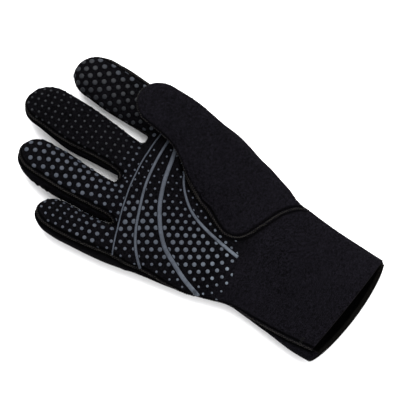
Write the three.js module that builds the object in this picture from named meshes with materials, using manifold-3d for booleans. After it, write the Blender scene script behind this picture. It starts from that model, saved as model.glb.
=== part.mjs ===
// A right-hand neoprene glove lying on its back, palm up, with the thumb folded over the palm.
// Millimetres. X points to the thumb side, Y to the fingertips, Z up out of the palm. Z = 0 is the table.
import * as THREE from "three";
import Module from "manifold-3d";

// Cloth
const NEOPRENE = 3; // thickness of the sheet
const SEAM_GAP = 0.34; // clearance between two panels
const PRINT_GAP = 0.3; // clearance under the printed stripes
const PRINT_THICKNESS = 0.8;

// Hand and cuff
const HAND_LENGTH = 287.4;
const PALM_WIDTH = 127.4;
const PALM_THICKNESS = 21.8;
const CUFF_FRONT_REACH = 134.2; // from the origin to the front edge of the mouth
const CUFF_BACK_LAP = 4.4; // how far the back rim reaches past the front edge

// Fingers: length past the crotch, width and thickness
const LITTLE = { length: 53.7, width: 26.4, thickness: 18.6, rootSide: -0.506, rootUp: 0.1427 };
const RING = { length: 75.5, width: 30.6, thickness: 18.6, rootSide: -0.3, rootUp: 0.1879 };
const MIDDLE = { length: 90.9, width: 34, thickness: 19, rootSide: -0.0251, rootUp: 0.1983 };
const INDEX = { length: 74.9, width: 34.4, thickness: 18.4, rootSide: 0.2771, rootUp: 0.1983 };
const THUMB = { length: 63.2, width: 35.6, thickness: 19, rootSide: 0.2355, rootUp: 0.0557 };

// Roundness of a cross-section: 2 is an ellipse, more is squarer
const FINGER_ROUNDNESS = { top: 2.15, under: 2.4 };
const HAND_ROUNDNESS = { top: 2.45, under: 2.7 };
const FINGER_POINTS = { outside: 20, hollow: 14 };
const HAND_POINTS = { outside: 32, hollow: 22 };
const TIP_STEPS = 4;
const FLATNESS = 0.09; // faces closer to flat than this are merged

// Rows of each finger. along: share of the length from the crotch; left, right: edges as shares of the
// width; mid: height of the centre, deep: full depth, both as shares of the thickness; seamLeft and
// seamRight: height of the side seams over the centre, as shares of the half depth.
const LITTLE_ROWS = [
  { along: -0.652, left: -0.208, right: 0.777, mid: 0.548, deep: 0.882, seamLeft: 0.55, seamRight: -0.1 },
  { along: -0.391, left: -0.39, right: 0.682, mid: 0.57, deep: 1.011, seamLeft: 0.85, seamRight: 0 },
  { along: -0.205, left: -0.481, right: 0.617, mid: 0.57, deep: 1.011, seamLeft: 1, seamRight: 0.1 },
  { along: -0.019, left: -0.542, right: 0.504, mid: 0.565, deep: 1, seamLeft: 0.98, seamRight: 0.3 },
  { along: 0.168, left: -0.591, right: 0.383, mid: 0.565, deep: 0.989, seamLeft: 0.94, seamRight: 0.1 },
  { along: 0.354, left: -0.633, right: 0.33, mid: 0.575, deep: 0.978, seamLeft: 0.93, seamRight: -0.1 },
  { along: 0.54, left: -0.667, right: 0.288, mid: 0.591, deep: 0.946, seamLeft: 0.93, seamRight: -0.16 },
  { along: 0.689, left: -0.67, right: 0.254, mid: 0.624, deep: 0.903, seamLeft: 0.93, seamRight: -0.16 },
];
const LITTLE_TIP = { side: -0.208, mid: 0.71 };
const RING_ROWS = [
  { along: -0.53, left: -0.516, right: 0.595, mid: 0.548, deep: 0.925, seamLeft: 0.2, seamRight: 0 },
  { along: -0.318, left: -0.451, right: 0.562, mid: 0.559, deep: 0.989, seamLeft: 0.2, seamRight: 0.1 },
  { along: -0.172, left: -0.373, right: 0.529, mid: 0.57, deep: 1.011, seamLeft: 0.45, seamRight: 0.2 },
  { along: -0.079, left: -0.425, right: 0.484, mid: 0.581, deep: 1.011, seamLeft: 0.75, seamRight: 0.3 },
  { along: 0.04, left: -0.51, right: 0.451, mid: 0.591, deep: 1.011, seamLeft: 0.9, seamRight: 0.3 },
  { along: 0.185, left: -0.539, right: 0.438, mid: 0.602, deep: 1, seamLeft: 0.94, seamRight: 0 },
  { along: 0.397, left: -0.595, right: 0.431, mid: 0.613, deep: 0.989, seamLeft: 0.94, seamRight: -0.17 },
  { along: 0.609, left: -0.627, right: 0.431, mid: 0.645, deep: 0.968, seamLeft: 0.94, seamRight: -0.17 },
  { along: 0.742, left: -0.618, right: 0.395, mid: 0.688, deep: 0.925, seamLeft: 0.94, seamRight: -0.17 },
];
const RING_TIP = { side: -0.085, mid: 0.806 };
const MIDDLE_ROWS = [
  { along: -0.451, left: -0.509, right: 0.506, mid: 0.537, deep: 0.926, seamLeft: 0.1, seamRight: 0 },
  { along: -0.253, left: -0.479, right: 0.491, mid: 0.547, deep: 0.989, seamLeft: 0.2, seamRight: 0.1 },
  { along: -0.077, left: -0.453, right: 0.453, mid: 0.558, deep: 1.011, seamLeft: 0.35, seamRight: 0.2 },
  { along: 0.011, left: -0.447, right: 0.435, mid: 0.568, deep: 1.011, seamLeft: 0.5, seamRight: 0.2 },
  { along: 0.121, left: -0.476, right: 0.447, mid: 0.574, deep: 1, seamLeft: 0.72, seamRight: 0 },
  { along: 0.297, left: -0.518, right: 0.474, mid: 0.584, deep: 0.989, seamLeft: 0.76, seamRight: -0.16 },
  { along: 0.473, left: -0.556, right: 0.491, mid: 0.605, deep: 0.979, seamLeft: 0.66, seamRight: -0.16 },
  { along: 0.649, left: -0.541, right: 0.485, mid: 0.647, deep: 0.947, seamLeft: 0.58, seamRight: -0.16 },
  { along: 0.792, left: -0.509, right: 0.465, mid: 0.716, deep: 0.895, seamLeft: 0.58, seamRight: -0.16 },
];
const MIDDLE_TIP = { side: -0.091, mid: 0.821 };
const INDEX_ROWS = [
  { along: -0.547, left: -0.503, right: 0.456, mid: 0.522, deep: 0.891, seamLeft: 0, seamRight: 0.2 },
  { along: -0.307, left: -0.491, right: 0.48, mid: 0.533, deep: 0.957, seamLeft: 0.1, seamRight: 0.25 },
  { along: -0.093, left: -0.483, right: 0.488, mid: 0.538, deep: 0.978, seamLeft: 0.2, seamRight: 0.3 },
  { along: 0.027, left: -0.483, right: 0.491, mid: 0.538, deep: 0.978, seamLeft: 0.2, seamRight: 0.4 },
  { along: 0.174, left: -0.491, right: 0.494, mid: 0.543, deep: 0.978, seamLeft: 0, seamRight: 0.5 },
  { along: 0.334, left: -0.503, right: 0.5, mid: 0.565, deep: 0.978, seamLeft: -0.12, seamRight: 0.55 },
  { along: 0.534, left: -0.509, right: 0.509, mid: 0.614, deep: 0.967, seamLeft: -0.12, seamRight: 0.56 },
  { along: 0.734, left: -0.488, right: 0.483, mid: 0.696, deep: 0.924, seamLeft: -0.12, seamRight: 0.56 },
];
const INDEX_TIP = { side: -0.073, mid: 0.815 };

// The thumb tube leaves the heel of the palm and lies over it. cutLeft, cutRight: height of its side
// seams as shares of the thickness.
const THUMB_ROWS = [
  { along: -0.918, left: -1.039, right: 0.421, mid: 0.605, deep: 0.8, cutLeft: 0.56, cutRight: 0.56 },
  { along: -0.728, left: -1.188, right: 0.5, mid: 0.663, deep: 1.074, cutLeft: 0.56, cutRight: 0.56 },
  { along: -0.585, left: -1.129, right: 0.537, mid: 0.747, deep: 1.263, cutLeft: 0.56, cutRight: 0.57 },
  { along: -0.427, left: -1.008, right: 0.604, mid: 0.895, deep: 1.347, cutLeft: 0.56, cutRight: 0.6 },
  { along: -0.269, left: -0.899, right: 0.638, mid: 1.053, deep: 1.326, cutLeft: 1.14, cutRight: 0.84 },
  { along: -0.127, left: -0.781, right: 0.652, mid: 1.221, deep: 1.263, cutLeft: 1.24, cutRight: 1.16 },
  { along: 0.016, left: -0.646, right: 0.663, mid: 1.368, deep: 1.137, cutLeft: 1.4, cutRight: 1.4 },
  { along: 0.174, left: -0.461, right: 0.691, mid: 1.495, deep: 1.042, cutLeft: 1.54, cutRight: 1.55 },
  { along: 0.332, left: -0.337, right: 0.725, mid: 1.558, deep: 1, cutLeft: 1.61, cutRight: 1.64 },
  { along: 0.506, left: -0.275, right: 0.73, mid: 1.579, deep: 0.989, cutLeft: 1.64, cutRight: 1.68 },
  { along: 0.68, left: -0.242, right: 0.725, mid: 1.6, deep: 0.979, cutLeft: 1.66, cutRight: 1.7 },
];
const THUMB_TIP = { side: 0.23, mid: 1.621 };

// Rows of the palm and cuff, from the crotches down to past the mouth. along: share of the hand length;
// left, right: shares of the palm width; mid, deep: shares of the palm thickness.
const HAND_ROWS = [
  { along: 0.1997, left: -0.3728, right: 0.3532, mid: 0.4679, deep: 0.422, seamLeft: 0.2, seamRight: 0.2 },
  { along: 0.1896, left: -0.3925, right: 0.3846, mid: 0.4679, deep: 0.5872, seamLeft: 0.2, seamRight: 0.2 },
  { along: 0.174, left: -0.3885, right: 0.3964, mid: 0.4679, deep: 0.7339, seamLeft: 0.2, seamRight: 0.2 },
  { along: 0.1531, left: -0.3878, right: 0.4019, mid: 0.4679, deep: 0.8624, seamLeft: 0.2, seamRight: 0.2 },
  { along: 0.1322, left: -0.4396, right: 0.4066, mid: 0.4679, deep: 0.9358, seamLeft: 0.3, seamRight: 0.2 },
  { along: 0.1044, left: -0.5259, right: 0.4105, mid: 0.4679, deep: 0.9725, seamLeft: 0.5, seamRight: 0.2 },
  { along: 0.0696, left: -0.584, right: 0.4144, mid: 0.4679, deep: 0.9908, seamLeft: 0.6, seamRight: 0.2 },
  { along: 0.0348, left: -0.5651, right: 0.416, mid: 0.4679, deep: 1, seamLeft: 0.52, seamRight: 0.2 },
  { along: 0, left: -0.5495, right: 0.4152, mid: 0.4679, deep: 1, seamLeft: 0.44, seamRight: 0.15 },
  { along: -0.0348, left: -0.529, right: 0.4082, mid: 0.4679, deep: 1, seamLeft: 0.28, seamRight: 0.1 },
  { along: -0.0696, left: -0.5149, right: 0.3925, mid: 0.4679, deep: 0.9908, seamLeft: 0.08, seamRight: 0.1 },
  { along: -0.1044, left: -0.4976, right: 0.376, mid: 0.4679, deep: 0.9817, seamLeft: 0, seamRight: 0.1 },
  { along: -0.1392, left: -0.471, right: 0.3564, mid: 0.4679, deep: 0.9725, seamLeft: 0, seamRight: 0.1 },
  { along: -0.174, left: -0.4443, right: 0.3344, mid: 0.4679, deep: 0.9633, seamLeft: 0, seamRight: 0.1 },
  { along: -0.2088, left: -0.4207, right: 0.3014, mid: 0.4725, deep: 0.9725, seamLeft: 0.04, seamRight: 0.1 },
  { along: -0.2436, left: -0.4192, right: 0.2928, mid: 0.4817, deep: 1, seamLeft: 0.15, seamRight: 0.08 },
  { along: -0.2923, left: -0.4254, right: 0.2849, mid: 0.4954, deep: 1.0275, seamLeft: 0.35, seamRight: 0.05 },
  { along: -0.3479, left: -0.4333, right: 0.281, mid: 0.5046, deep: 1.055, seamLeft: 0.46, seamRight: -0.05 },
  { along: -0.4036, left: -0.4411, right: 0.2802, mid: 0.5138, deep: 1.0734, seamLeft: 0.54, seamRight: -0.12 },
  { along: -0.4523, left: -0.4364, right: 0.2779, mid: 0.5229, deep: 1.1009, seamLeft: 0.58, seamRight: -0.12 },
  { along: -0.508, left: -0.4317, right: 0.2763, mid: 0.5321, deep: 1.1193, seamLeft: 0.58, seamRight: -0.12 },
];
const CROTCH_END = 0.155; // share of the hand length where the palm starts to thin towards the crotches

// Edge of the thumb panel in plan. side: share of the palm width; up: share of the hand length.
const THUMB_EDGE = [
  { side: 0.58, up: 0.33 },
  { side: 0.11, up: 0.33 },
  { side: 0.085, up: 0.16 },
  { side: 0.02, up: 0.087 },
  { side: -0.025, up: 0.03 },
  { side: -0.027, up: 0 },
  { side: -0.0487, up: -0.0414 },
  { side: -0.0738, up: -0.0633 },
  { side: -0.0942, up: -0.0835 },
  { side: -0.1068, up: -0.1037 },
  { side: -0.102, up: -0.1221 },
  { side: -0.0816, up: -0.1406 },
  { side: -0.0487, up: -0.1531 },
  { side: 0.0008, up: -0.1625 },
  { side: 0.0589, up: -0.1726 },
  { side: 0.1248, up: -0.1837 },
  { side: 0.1664, up: -0.19 },
  { side: 0.2174, up: -0.2039 },
  { side: 0.259, up: -0.2192 },
  { side: 0.281, up: -0.2359 },
  { side: 0.58, up: -0.2359 },
];

// Raised grip stripes in plan. side: share of the palm width; up: share of the hand length; wide: mm.
const STRIPES = [
  {
    name: "grip_stripe_1",
    rows: [
      { side: 0.213, up: 0.1745, wide: 1.1 },
      { side: 0.0989, up: 0.1757, wide: 1.1 },
      { side: -0.0157, up: 0.1719, wide: 1.1 },
      { side: -0.0981, up: 0.1667, wide: 1.1 },
      { side: -0.1727, up: 0.1611, wide: 1.1 },
      { side: -0.2512, up: 0.15, wide: 1.1 },
      { side: -0.3297, up: 0.1392, wide: 1.1 },
      { side: -0.4066, up: 0.1267, wide: 1.1 },
      { side: -0.4843, up: 0.1117, wide: 1.1 },
      { side: -0.5573, up: 0.0967, wide: 1.1 },
    ],
  },
  {
    name: "grip_stripe_2",
    rows: [
      { side: 0.2057, up: 0.1486, wide: 2 },
      { side: 0.0667, up: 0.1451, wide: 2 },
      { side: -0.0157, up: 0.1395, wide: 2 },
      { side: -0.0942, up: 0.1322, wide: 2 },
      { side: -0.1727, up: 0.1211, wide: 2 },
      { side: -0.2512, up: 0.1065, wide: 2 },
      { side: -0.3132, up: 0.0953, wide: 2 },
      { side: -0.3713, up: 0.0828, wide: 2 },
      { side: -0.4286, up: 0.0661, wide: 2 },
      { side: -0.4843, up: 0.0459, wide: 2 },
      { side: -0.529, up: 0.0209, wide: 2 },
    ],
  },
  {
    name: "grip_stripe_3",
    rows: [
      { side: 0.1978, up: 0.1267, wide: 3.2 },
      { side: 0.1162, up: 0.1141, wide: 3.2 },
      { side: 0.0502, up: 0.1068, wide: 3.2 },
      { side: -0.0157, up: 0.0995, wide: 3.2 },
      { side: -0.0942, up: 0.0863, wide: 3.2 },
      { side: -0.1727, up: 0.07, wide: 3.2 },
      { side: -0.2512, up: 0.046, wide: 3.2 },
      { side: -0.3132, up: 0.0223, wide: 3.2 },
      { side: -0.3626, up: -0.0031, wide: 3.2 },
      { side: -0.4035, up: -0.0428, wide: 3.2 },
      { side: -0.4388, up: -0.0769, wide: 3.2 },
      { side: -0.456, up: -0.1016, wide: 3.2 },
      { side: -0.4741, up: -0.1374, wide: 3 },
    ],
  },
  {
    name: "grip_stripe_4",
    rows: [
      { side: 0.0706, up: 0.0682, wide: 1.5 },
      { side: 0.0173, up: 0.0557, wide: 1.6 },
      { side: -0.0314, up: 0.0369, wide: 1.8 },
      { side: -0.0738, up: 0.0153, wide: 1.9 },
      { side: -0.1068, up: -0.0066, wide: 2.1 },
      { side: -0.1311, up: -0.0362, wide: 2.2 },
      { side: -0.1523, up: -0.0779, wide: 2.4 },
      { side: -0.1648, up: -0.1148, wide: 2.5 },
      { side: -0.1766, up: -0.1659, wide: 2.5 },
    ],
  },
];

const FAR = 400; // reach of the cutting solids
const solids = await Module();
solids.setup();
const { Manifold, CrossSection, Mesh } = solids;

const pointsFor = (points, swell) => (swell < 0 ? points.hollow : points.outside);
const between = (a, b, t) => a + (b - a) * t;
const bent = (value, power) => Math.sign(value) * Math.abs(value) ** power;

// One ring of points across the hand at height y along it.
function ring(row, swell, count, roundness) {
  const half = (row.right - row.left) / 2 + swell;
  const depth = row.depth + swell;
  const centre = (row.right + row.left) / 2;
  return Array.from({ length: count }, (_, i) => {
    const turn = (2 * Math.PI * i) / count;
    const power = 2 / (Math.sin(turn) > 0 ? roundness.top : roundness.under);
    return [
      centre + half * bent(Math.cos(turn), power),
      row.y,
      row.mid + depth * bent(Math.sin(turn), power),
    ];
  });
}

// A closed solid through rings of equal count, with a flat or pointed cap at each end.
function loft(rings) {
  const count = rings[0].length;
  const points = rings.flat();
  const faces = [];
  for (let r = 0; r < rings.length - 1; r++)
    for (let i = 0; i < count; i++) {
      const a = r * count + i;
      const b = r * count + ((i + 1) % count);
      faces.push(a, b, b + count, a, b + count, a + count);
    }
  for (const [first, turn] of [[0, 1], [rings.length - 1, -1]]) {
    const middle = [0, 1, 2].map(
      (k) => rings[first].reduce((sum, p) => sum + p[k], 0) / count,
    );
    points.push(middle);
    for (let i = 0; i < count; i++) {
      const a = first * count + i;
      const b = first * count + ((i + 1) % count);
      faces.push(...(turn > 0 ? [points.length - 1, b, a] : [points.length - 1, a, b]));
    }
  }
  const make = (order) =>
    new Manifold(
      new Mesh({
        numProp: 3,
        vertProperties: new Float32Array(points.flat()),
        triVerts: new Uint32Array(order),
      }),
    );
  const made = make(faces);
  if (made.volume() > 0) return made;
  const turned = faces.slice();
  for (let i = 0; i < turned.length; i += 3)
    [turned[i + 1], turned[i + 2]] = [turned[i + 2], turned[i + 1]];
  return make(turned);
}

// A finger's rows in millimetres, at its place on the palm.
function placeFinger(size, rows) {
  const x = size.rootSide * PALM_WIDTH;
  const y = size.rootUp * HAND_LENGTH;
  return rows.map((row) => {
    const depth = (row.deep * size.thickness) / 2;
    const mid = row.mid * size.thickness;
    return {
      y: y + row.along * size.length,
      left: x + row.left * size.width,
      right: x + row.right * size.width,
      mid,
      depth,
      cutLeft: row.cutLeft === undefined ? mid + row.seamLeft * depth : row.cutLeft * size.thickness,
      cutRight: row.cutRight === undefined ? mid + row.seamRight * depth : row.cutRight * size.thickness,
    };
  });
}

// Rings of a finger, with the rounded tip; swell grows it, or makes the hollow when negative.
function fingerRings(size, placed, tip, swell) {
  const count = pointsFor(FINGER_POINTS, swell);
  const rings = placed.map((row) => ring(row, swell, count, FINGER_ROUNDNESS));
  const last = placed[placed.length - 1];
  const tipX = size.rootSide * PALM_WIDTH + tip.side * size.width;
  const tipY = size.rootUp * HAND_LENGTH + size.length;
  const tipZ = tip.mid * size.thickness;
  const reach = tipY - last.y + swell;
  const centre = (last.left + last.right) / 2;
  for (let step = 1; step <= TIP_STEPS; step++) {
    const turn = (Math.PI / 2) * (step / (TIP_STEPS + 0.35));
    const along = Math.sin(turn);
    const narrow = Math.cos(turn);
    const half = ((last.right - last.left) / 2 + swell) * narrow;
    const x = between(centre, tipX, along);
    const row = {
      y: last.y + reach * along,
      left: x - half,
      right: x + half,
      mid: between(last.mid, tipZ, along),
      depth: (last.depth + swell) * narrow,
    };
    rings.push(ring(row, 0, count, FINGER_ROUNDNESS));
  }
  return rings;
}

const handRows = HAND_ROWS.map((row) => ({
  y: row.along * HAND_LENGTH,
  left: row.left * PALM_WIDTH,
  right: row.right * PALM_WIDTH,
  mid: row.mid * PALM_THICKNESS,
  depth: (row.deep * PALM_THICKNESS) / 2,
  endShare: Math.max(0, (row.along - CROTCH_END) / (HAND_ROWS[0].along - CROTCH_END)),
  cutLeft: (row.mid + (row.seamLeft * row.deep) / 2) * PALM_THICKNESS,
  cutRight: (row.mid + (row.seamRight * row.deep) / 2) * PALM_THICKNESS,
}));

const fingers = [
  { size: LITTLE, rows: placeFinger(LITTLE, LITTLE_ROWS), tip: LITTLE_TIP },
  { size: RING, rows: placeFinger(RING, RING_ROWS), tip: RING_TIP },
  { size: MIDDLE, rows: placeFinger(MIDDLE, MIDDLE_ROWS), tip: MIDDLE_TIP },
  { size: INDEX, rows: placeFinger(INDEX, INDEX_ROWS), tip: INDEX_TIP },
];
const thumb = { size: THUMB, rows: placeFinger(THUMB, THUMB_ROWS), tip: THUMB_TIP };

// Everything above a level height, as a solid.
const above = (height) =>
  Manifold.cube([2 * FAR, 2 * FAR, FAR], true).translate([0, 0, height + FAR / 2]);

function handForm(swell) {
  const count = pointsFor(HAND_POINTS, swell);
  const palm = loft(
    handRows.map((row) =>
      ring({ ...row, y: row.y + swell * row.endShare }, swell, count, HAND_ROUNDNESS),
    ),
  );
  const parts = fingers.map((f) => loft(fingerRings(f.size, f.rows, f.tip, swell)));
  return Manifold.union([palm, ...parts]).intersect(above(Math.max(0, -swell)));
}

const thumbForm = (swell) =>
  loft(fingerRings(thumb.size, thumb.rows, thumb.tip, swell)).intersect(above(Math.max(0, -swell)));

// The value of a column at a place along the hand, from rows sorted either way.
function at(rows, y, column) {
  const sorted = [...rows].sort((a, b) => a.y - b.y);
  if (y <= sorted[0].y) return sorted[0][column];
  for (let i = 1; i < sorted.length; i++)
    if (y <= sorted[i].y)
      return between(
        sorted[i - 1][column],
        sorted[i][column],
        (y - sorted[i - 1].y) / (sorted[i].y - sorted[i - 1].y),
      );
  return sorted[sorted.length - 1][column];
}

// The solid above a sheet that is given by columns of [x, z] at each y.
function aboveSheet(stations, columnsAt) {
  return loft(
    stations.map((y) => {
      let before = -FAR;
      const line = columnsAt(y).map(([x, z]) => {
        before = Math.max(x, before + 0.05);
        return [before, y, z];
      });
      return [
        [-FAR, y, line[0][2]],
        ...line,
        [FAR, y, line[line.length - 1][2]],
        [FAR, y, FAR],
        [-FAR, y, FAR],
      ];
    }),
  );
}

// Height of the side seams: palm panel above, back panel below.
const SEAM_REACH = 0.3; // how far past a finger's edge its seam height holds
const fingerStations = fingers.flatMap((f) => f.rows.map((row) => row.y));
const STATION_SPACING = 5; // places along the hand closer than this share one station
const seamStations = [-FAR, ...handRows.map((row) => row.y), ...fingerStations, FAR]
  .sort((a, b) => a - b)
  .reduce((kept, y) => {
    if (kept.length === 0 || y - kept[kept.length - 1] > STATION_SPACING) kept.push(y);
    return kept;
  }, []);
const level = PALM_THICKNESS / 2;
const seamSheet = aboveSheet(seamStations, (y) => {
  if (Math.abs(y) === FAR) return Array.from({ length: 8 }, (_, i) => [i * 4 - 12, level]);
  const little = fingers[0].rows;
  const indexRows = fingers[3].rows;
  return fingers.flatMap((f, k) => {
    const inPalm = y < f.rows[2].y;
    const left = [at(f.rows, y, "left") - SEAM_REACH, at(f.rows, y, "cutLeft")];
    const right = [at(f.rows, y, "right") + SEAM_REACH, at(f.rows, y, "cutRight")];
    if (k === 0 && y < little[1].y) {
      left[0] = at(handRows, y, "left") - SEAM_REACH;
      left[1] = at(handRows, y, "cutLeft");
    }
    if (k === 3 && y < indexRows[2].y) {
      right[0] = at(handRows, y, "right") + SEAM_REACH;
      right[1] = at(handRows, y, "cutRight");
    }
    if (inPalm && k > 0) left[1] = level;
    if (inPalm && k < 3) right[1] = level;
    return [left, right];
  });
});

// Plan of the thumb panel, and the sheet that its side seams lie on.
const planOf = (rows) =>
  new CrossSection([rows.map((row) => [row.side * PALM_WIDTH, row.up * HAND_LENGTH])], "Positive");
const turnedEdge = [...THUMB_EDGE].reverse();
const edgePlan = planOf(THUMB_EDGE).area() > 0 ? planOf(THUMB_EDGE) : planOf(turnedEdge);
const thumbStations = [-FAR, ...thumb.rows.map((row) => row.y), FAR];
const thumbSheet = aboveSheet(thumbStations, (y) => {
  if (Math.abs(y) === FAR) return [[-10, level], [30, level]];
  return [
    [at(thumb.rows, y, "left") - SEAM_REACH, at(thumb.rows, y, "cutLeft")],
    [at(thumb.rows, y, "right") + SEAM_REACH, at(thumb.rows, y, "cutRight")],
  ];
});
const thumbRegion = (grow) =>
  edgePlan
    .offset(grow, "Miter")
    .extrude(FAR)
    .intersect(thumbSheet.translate([0, 0, -grow]));

const biggest = (solid) =>
  solid.decompose().reduce((a, b) => (a.volume() > b.volume() ? a : b));

const hand = handForm(0);
const thumbOuter = thumbForm(0);
const hollows = handForm(-NEOPRENE).add(thumbForm(-NEOPRENE));
const halfGap = SEAM_GAP / 2;

// Mouth of the cuff: a nearly straight front edge, and a back rim that bulges past it.
const frontCut = Manifold.cube([2 * FAR, FAR, 2 * FAR], true)
  .translate([0, FAR / 2 - CUFF_FRONT_REACH, 0]);
const MOUTH_STEPS = 10;
const mouthLeft = HAND_ROWS[HAND_ROWS.length - 1].left * PALM_WIDTH;
const mouthRight = HAND_ROWS[HAND_ROWS.length - 1].right * PALM_WIDTH;
const rim = Array.from({ length: MOUTH_STEPS + 1 }, (_, i) => {
  const share = i / MOUTH_STEPS;
  return [
    between(mouthLeft, mouthRight, share),
    -CUFF_FRONT_REACH - CUFF_BACK_LAP * Math.sin(Math.PI * share) ** 0.6,
  ];
});
const backCut = new CrossSection([[[-FAR, -CUFF_FRONT_REACH], ...rim, [FAR, -CUFF_FRONT_REACH], [FAR, FAR], [-FAR, FAR]]], "NonZero")
  .extrude(2 * FAR)
  .translate([0, 0, -FAR]);

const handShell = hand.subtract(hollows).subtract(thumbRegion(halfGap));
const palmPanel = biggest(
  handShell.intersect(seamSheet.translate([0, 0, halfGap])).intersect(frontCut),
);
const backPanel = biggest(
  handShell.subtract(seamSheet.translate([0, 0, -halfGap])).intersect(backCut),
);
const thumbOuterPanel = biggest(
  hand.add(thumbOuter).subtract(hollows).intersect(thumbRegion(-halfGap)),
);
const thumbInnerPanel = biggest(
  thumbOuter.subtract(hollows).subtract(handForm(SEAM_GAP)).subtract(thumbRegion(halfGap)),
);

// A ribbon in plan, of the stripe's own width.
function ribbon(rows) {
  const line = rows.map((row) => [row.side * PALM_WIDTH, row.up * HAND_LENGTH, row.wide / 2]);
  const sides = [1, -1].map((turn) =>
    line.map(([x, y, half], i) => {
      const [x0, y0] = line[Math.max(i - 1, 0)];
      const [x1, y1] = line[Math.min(i + 1, line.length - 1)];
      const run = Math.hypot(x1 - x0, y1 - y0);
      return [x - (turn * half * (y1 - y0)) / run, y + (turn * half * (x1 - x0)) / run];
    }),
  );
  const outline = [...sides[0], ...sides[1].reverse()];
  const plan = new CrossSection([outline], "Positive");
  return plan.area() > 0 ? plan : new CrossSection([outline.reverse()], "Positive");
}
const printSkin = handForm(PRINT_GAP + PRINT_THICKNESS)
  .subtract(handForm(PRINT_GAP))
  .intersect(seamSheet.translate([0, 0, 1]));
const thumbRoom = thumbForm(SEAM_GAP);
const stripes = STRIPES.map(({ name, rows }) => ({
  name,
  solid: biggest(
    printSkin.intersect(ribbon(rows).extrude(FAR)).subtract(thumbRoom).subtract(thumbRegion(SEAM_GAP)),
  ),
}));

const NEOPRENE_FINISH = { color: 0x1c1b21, roughness: 0.85 };
const PRINT_FINISH = { color: 0x5f646c, roughness: 0.6 };

function meshOf(name, solid, finish) {
  const { vertProperties, triVerts } = solid.simplify(FLATNESS).getMesh();
  const geometry = new THREE.BufferGeometry();
  geometry.setAttribute("position", new THREE.BufferAttribute(new Float32Array(vertProperties), 3));
  geometry.setIndex(new THREE.BufferAttribute(new Uint32Array(triVerts), 1));
  geometry.computeVertexNormals();
  const mesh = new THREE.Mesh(geometry, new THREE.MeshStandardMaterial(finish));
  mesh.name = name;
  return mesh;
}

const glove = new THREE.Group();
glove.name = "glove";
glove.add(
  meshOf("palm_panel", palmPanel, NEOPRENE_FINISH),
  meshOf("back_panel", backPanel, NEOPRENE_FINISH),
  meshOf("thumb_outer_panel", thumbOuterPanel, NEOPRENE_FINISH),
  meshOf("thumb_inner_panel", thumbInnerPanel, NEOPRENE_FINISH),
  ...stripes.map(({ name, solid }) => meshOf(name, solid, PRINT_FINISH)),
);

export default glove;
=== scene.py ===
"""A right-hand neoprene glove lying palm up: sewn panels, zigzag seams and a raised grip print."""
import math

import bpy
import numpy as np
from mathutils import Matrix, Vector
from mathutils.bvhtree import BVHTree
from mathutils.kdtree import KDTree


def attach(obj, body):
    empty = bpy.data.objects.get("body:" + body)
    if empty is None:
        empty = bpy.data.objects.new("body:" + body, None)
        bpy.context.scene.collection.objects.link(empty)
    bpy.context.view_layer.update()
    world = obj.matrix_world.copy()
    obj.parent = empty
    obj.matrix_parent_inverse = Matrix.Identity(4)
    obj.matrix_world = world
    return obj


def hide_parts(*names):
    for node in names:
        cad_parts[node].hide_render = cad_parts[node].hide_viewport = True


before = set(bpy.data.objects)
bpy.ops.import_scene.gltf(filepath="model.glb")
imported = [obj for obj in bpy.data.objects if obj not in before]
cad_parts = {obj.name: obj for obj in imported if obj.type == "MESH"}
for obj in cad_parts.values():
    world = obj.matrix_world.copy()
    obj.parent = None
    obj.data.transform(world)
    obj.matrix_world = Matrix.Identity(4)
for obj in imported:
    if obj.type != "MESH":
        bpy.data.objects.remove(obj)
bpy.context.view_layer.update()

MM = 0.001
SHEET = 3.0  # neoprene thickness, mm
SKIN_STEP = 0.97  # size of the skin's faces, mm
FINGER_ROUND = (2.15, 2.4)  # roundness of a cross-section above and below its middle; 2 is an ellipse
HAND_ROUND = (2.45, 2.7)
FRONT_RIM, BACK_RIM = (-130.4, 1.7, -.085), (-132.9, 6.8, -.065)  # along the hand, bulge, mm; slope across
MOUTH_LEFT, MOUTH_RIGHT = -55.0, 35.2

# Rows of each finger, mm: along the hand, left edge, right edge, height of the middle, half depth,
# and the side seams' height over the middle as a share of the half depth. Then the fingertip.
ROW = ("y", "left", "right", "mid", "deep", "seam_left", "seam_right")
LITTLE = ((6, -70, -44, 10.2, 8.2, .55, -.1), (20, -74.8, -46.5, 10.6, 9.4, .85, 0),
          (30, -77.2, -48.2, 10.6, 9.4, 1.0, .1), (40, -78.8, -51.2, 10.5, 9.3, .98, 0),
          (50, -80.1, -53.1, 10.6, 9.2, .94, -.1), (60, -81.2, -54.6, 10.9, 9.1, .93, -.16),
          (70, -82.4, -55.4, 11.3, 8.8, .93, -.3), (78, -82.6, -56.0, 11.9, 8.4, .93, -.3))
RING = ((14, -54, -20, 10.2, 8.6, .2, 0), (30, -52, -21, 10.4, 9.2, .2, .1),
        (41, -49.6, -22, 10.6, 9.4, .45, .2), (48, -51.2, -23.4, 10.8, 9.4, .75, .3),
        (57, -53.8, -24.4, 11.0, 9.4, .9, .3), (68, -54.7, -24.8, 11.2, 9.3, .94, 0),
        (84, -56.4, -25, 11.4, 9.2, .94, -.17), (100, -57.4, -25, 12.0, 9.0, .94, -.17),
        (110, -57.1, -26.1, 12.8, 8.6, .94, -.17))
MIDDLE = ((16, -20.5, 14, 10.2, 8.8, .1, 0), (34, -19.5, 13.5, 10.4, 9.4, .2, .1),
          (50, -18.6, 12.2, 10.6, 9.6, .35, .2), (58, -18.4, 11.6, 10.8, 9.6, .5, .2),
          (68, -19.4, 12, 10.9, 9.5, .72, 0), (84, -20.8, 12.9, 11.1, 9.4, .76, -.16),
          (100, -22.1, 13.5, 11.5, 9.3, .66, -.16), (116, -21.6, 13.3, 12.3, 9.0, .58, -.16),
          (129, -20.5, 12.6, 13.6, 8.5, .58, -.16))
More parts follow.
